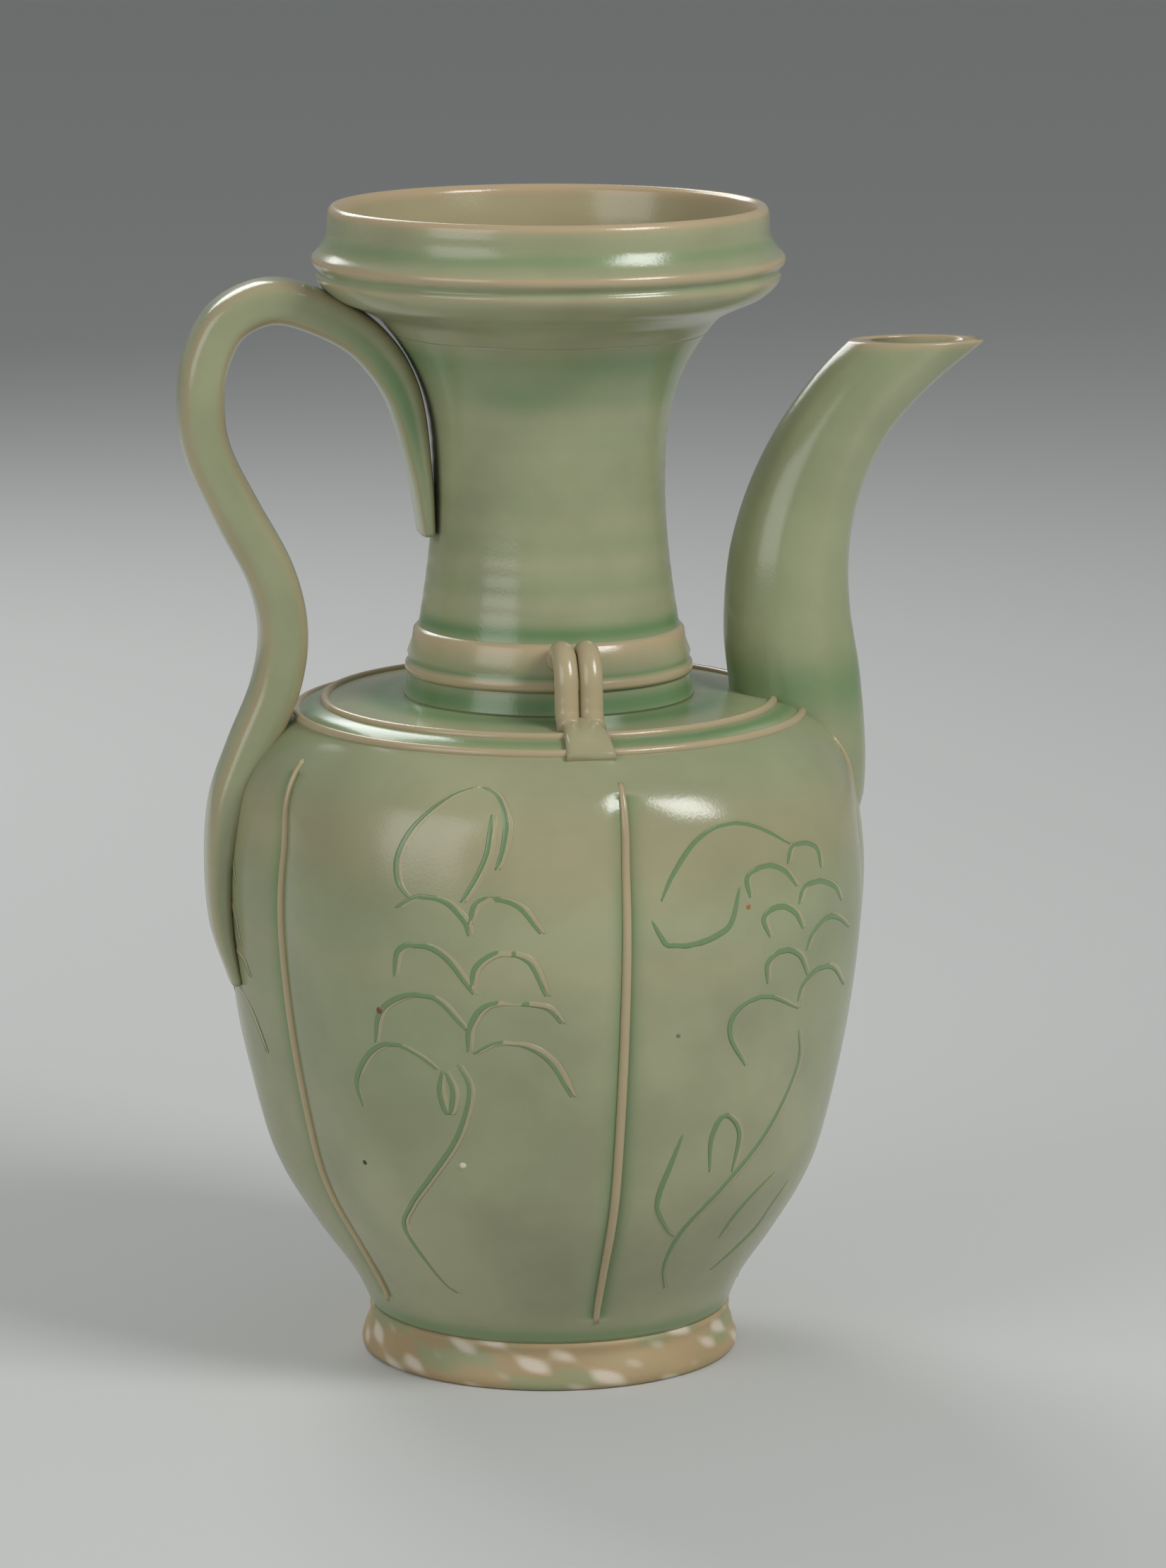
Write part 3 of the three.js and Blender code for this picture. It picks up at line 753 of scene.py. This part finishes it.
class EWER_OT_spout(bpy.types.Operator):
    """Hollow spout, pared lengthwise and cut off level at the tip"""
    bl_idname = "ewer.spout"
    bl_label = "Spout"

    def execute(self, context):
        rows, sides = 160, 96
        centres = catmull(SPOUT_LINE, rows)
        half = spread(SPOUT_HALF, rows)
        # Paring left ten shallow facets along the spout.
        pared = 1 - 0.012 * np.abs(np.sin(circle(sides) * 5))
        outer = self.cut_level(centres, half, pared)
        inner = self.cut_level(centres, half - SPOUT_WALL, np.ones(sides))
        points = np.vstack([outer, inner[::-1]])
        z = points[..., 2]
        stripes = np.abs(np.sin(circle(sides) * 2.5))[None, :]
        # Glaze collects where the spout leaves the body, and runs thin on the cut.
        by_body = near(z, 140, 6)
        on_cut = near(z, SPOUT_CUT, 1.2)
        glazed_piece("spout", points, pool=0.08 + 0.16 * stripes + 0.6 * by_body, thin=0.7 * on_cut)
        return {"FINISHED"}

    @staticmethod
    def cut_level(centres, half, shape):
        """A tube about the centre line whose lines each end where they meet the level cut at the tip."""
        sides = len(shape)
        points = swept(centres, half, half, (0, 1, 0), sides)
        points = centres[:, None, :] + (points - centres[:, None, :]) * shape[None, :, None]
        places = np.linspace(0, 1, len(points))
        for k in range(sides):
            line = points[:, k].copy()
            past = np.argmax(line[:, 2] > SPOUT_CUT)
            share = (SPOUT_CUT - line[past - 1, 2]) / (line[past, 2] - line[past - 1, 2])
            stop = places[past - 1] + share * (places[1] - places[0])
            for axis in range(3):
                points[:, k, axis] = np.interp(places * stop, places, line[:, axis])
        return points


class EWER_OT_handle(bpy.types.Operator):
    """Strap handle from the mouth and neck, over an arch and down onto the body"""
    bl_idname = "ewer.handle"
    bl_label = "Handle"

    def execute(self, context):
        rows, sides = 220, 64
        centres = catmull(HANDLE_LINE, rows)
        thickness = spread(HANDLE_THICKNESS, rows)
        # The strap was pulled by hand, so its width wavers by a quarter of a millimetre.
        half_width = HANDLE_HALF_WIDTH + 0.25 * np.sin(np.linspace(0, 14, rows))
        points = swept(centres, thickness / 2, half_width, (0, 1, 0), sides, power=3.2)
        angle = circle(sides)[None, :]
        corner = np.abs(np.sin(2 * angle)) ** 4
        # Painted shade: darker green where the strap leaves the neck, on its face towards the finger gap,
        # where the mouth's flange and the neck shade it. In rows.
        neck_end, reach = 30, 18
        by_neck = near(np.arange(rows), neck_end, reach)[:, None] * (np.cos(angle) < 0)
        glazed_piece("handle", points, pool=0.12 + 0.8 * by_neck, thin=0.45 * corner, capped=True)
        return {"FINISHED"}


class EWER_OT_lugs(bpy.types.Operator):
    """Rope-like lugs in front and behind: two strands and a flared end"""
    bl_idname = "ewer.lugs"
    bl_label = "Lugs"

    def execute(self, context):
        for place, facing in (("front", -1), ("back", 1)):
            for side, hand in (("left", -1), ("right", 1)):
                centres = self.line(STRAND_LINE, hand * STRAND_BESIDE, facing, 60)
                points = swept(centres, STRAND_RADIUS, STRAND_RADIUS, (1, 0, 0), 24)
                glazed_piece(f"lug_{place}_{side}_strand", points, thin=0.55, capped=True)
            centres = self.line(TAB_LINE, 0, facing, 40)
            widths = np.linspace(*TAB_HALF_WIDTHS, len(centres))
            points = swept(centres, TAB_HALF_THICKNESS, widths, (1, 0, 0), 40, power=3)
            glazed_piece(f"lug_{place}_tab", points, thin=0.25, capped=True)
        return {"FINISHED"}

    @staticmethod
    def line(places, beside, facing, count):
        """A smooth line in the plane beside the middle of the lug."""
        return catmull([(beside, facing * out, z) for out, z in places], count)


# Marks of the kiln on the body: place in the photograph, radius in millimetres and colour.
KILN_MARKS_PX = {
    "iron_spot": ((556, 1413), 0.8, "#7A4424"),
    "dark_pin": ((531, 1635), 0.6, "#4A3A2C"),
    "white_grit": ((668, 1637), 0.75, "#D8D2C0"),
    "orange_spot": ((1055, 1266), 0.6, "#A8703C"),
    "pit": ((964, 1452), 0.5, "#6E7A66"),
}


class EWER_OT_kiln_marks(bpy.types.Operator):
    """Grit and iron spots that the kiln left in the glaze"""
    bl_idname = "ewer.kiln_marks"
    bl_label = "Kiln marks"

    def execute(self, context):
        for name, (place, size, colour) in KILN_MARKS_PX.items():
            (angle, z), = on_body([place])
            out = np.array([math.cos(angle), math.sin(angle), 0])
            centre = float(body_radius(angle, z)) * out + np.array([0, 0, z])
            # A low dome: most of it is in the glaze, and a quarter of its radius stands out.
            line = centre + np.outer(np.linspace(-0.4, 0.25, 9), out) * size
            dome = size * np.sqrt(1 - np.linspace(-0.6, 0.98, 9) ** 2)
            points = swept(line, dome, dome, (0, 0, 1), 20)
            material = glazed_stoneware(f"{name}_in_glaze", colour, colour, colour, DULL)
            grid_piece(name, points, material, "celadon_glaze", capped=True, stands_in=False)
        return {"FINISHED"}


class EWER_OT_stage(bpy.types.Operator):
    """Pale floor, soft lights and a camera at the photograph's angle"""
    bl_idname = "ewer.stage"
    bl_label = "Stage"

    def execute(self, context):
        bpy.ops.mesh.primitive_plane_add(size=FLOOR_SIZE)
        floor = context.active_object
        floor.name = "floor"
        floor.data.materials.append(pale_floor())
        for name, (place, width, watts) in LAMPS.items():
            self.add_lamp(name, place, width, watts)
        world = bpy.data.worlds.new("soft_room")
        world.use_nodes = True
        background = world.node_tree.nodes["Background"]
        background.inputs["Color"].default_value = to_linear(ROOM_COLOUR)
        background.inputs["Strength"].default_value = ROOM_STRENGTH
        context.scene.world = world
        self.add_camera(context)
        context.scene.view_settings.view_transform = "Standard"
        return {"FINISHED"}

    @staticmethod
    def add_lamp(name, place, width, watts):
        """A square lamp that faces the ewer."""
        data = bpy.data.lights.new(name, "AREA")
        data.size = width
        data.energy = watts
        lamp = bpy.data.objects.new(name, data)
        lamp.location = place
        lamp.rotation_euler = (Vector(LAMP_TARGET) - Vector(place)).to_track_quat("-Z", "Y").to_euler()
        bpy.context.collection.objects.link(lamp)

    @staticmethod
    def add_camera(context):
        """Aims at the height and the side of the axis that fall in the middle of the photograph."""
        data = bpy.data.cameras.new("camera")
        data.sensor_fit = "HORIZONTAL"
        data.sensor_width = SENSOR_MM
        reach = math.hypot(CAMERA_DISTANCE, CAMERA_HEIGHT - MIDDLE_HEIGHT)
        data.lens = LENS_TRIM * PHOTO_PIXELS_PER_MM * reach * SENSOR_MM / PHOTO_WIDTH
        data.clip_end = VIEW_END
        camera = bpy.data.objects.new("camera", data)
        back = np.array([math.sin(CAMERA_AZIMUTH), -math.cos(CAMERA_AZIMUTH), 0])
        right = np.array([math.cos(CAMERA_AZIMUTH), math.sin(CAMERA_AZIMUTH), 0])
        place = np.array([AXIS_X, 0, CAMERA_HEIGHT]) + CAMERA_DISTANCE * back
        beside = VIEW_SHIFT + (PHOTO_WIDTH / 2 - PHOTO_AXIS_X) / PHOTO_PIXELS_PER_MM
        target = np.array([AXIS_X, 0, MIDDLE_HEIGHT]) + beside * right
        camera.location = place * MM
        camera.rotation_euler = Vector(target - place).to_track_quat("-Z", "Y").to_euler()
        context.collection.objects.link(camera)
        context.scene.camera = camera


BUILDERS = (
    EWER_OT_foot, EWER_OT_body, EWER_OT_ribs, EWER_OT_sprays, EWER_OT_shoulder_rings, EWER_OT_neck,
    EWER_OT_mouth, EWER_OT_spout, EWER_OT_handle, EWER_OT_lugs, EWER_OT_kiln_marks, EWER_OT_stage,
)


class EWER_PT_panel(bpy.types.Panel):
    """Lists the ewer's pieces in the sidebar"""
    bl_idname = "EWER_PT_panel"
    bl_label = "Celadon ewer"
    bl_space_type = "VIEW_3D"
    bl_region_type = "UI"
    bl_category = "Ewer"

    def draw(self, context):
        for name in EwerLooks.__annotations__:
            self.layout.prop(context.scene.ewer_looks, name)
        for builder in BUILDERS:
            self.layout.operator(builder.bl_idname)


def register():
    for cls in (EwerLooks, *BUILDERS, EWER_PT_panel):
        bpy.utils.register_class(cls)
    bpy.types.Scene.ewer_looks = bpy.props.PointerProperty(type=EwerLooks)


def unregister():
    del bpy.types.Scene.ewer_looks
    for cls in reversed((EwerLooks, *BUILDERS, EWER_PT_panel)):
        bpy.utils.unregister_class(cls)


def main():
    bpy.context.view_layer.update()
    register()
    for builder in BUILDERS:
        group, name = builder.bl_idname.split(".")
        getattr(getattr(bpy.ops, group), name)()
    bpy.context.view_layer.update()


if __name__ == "__main__":
    main()
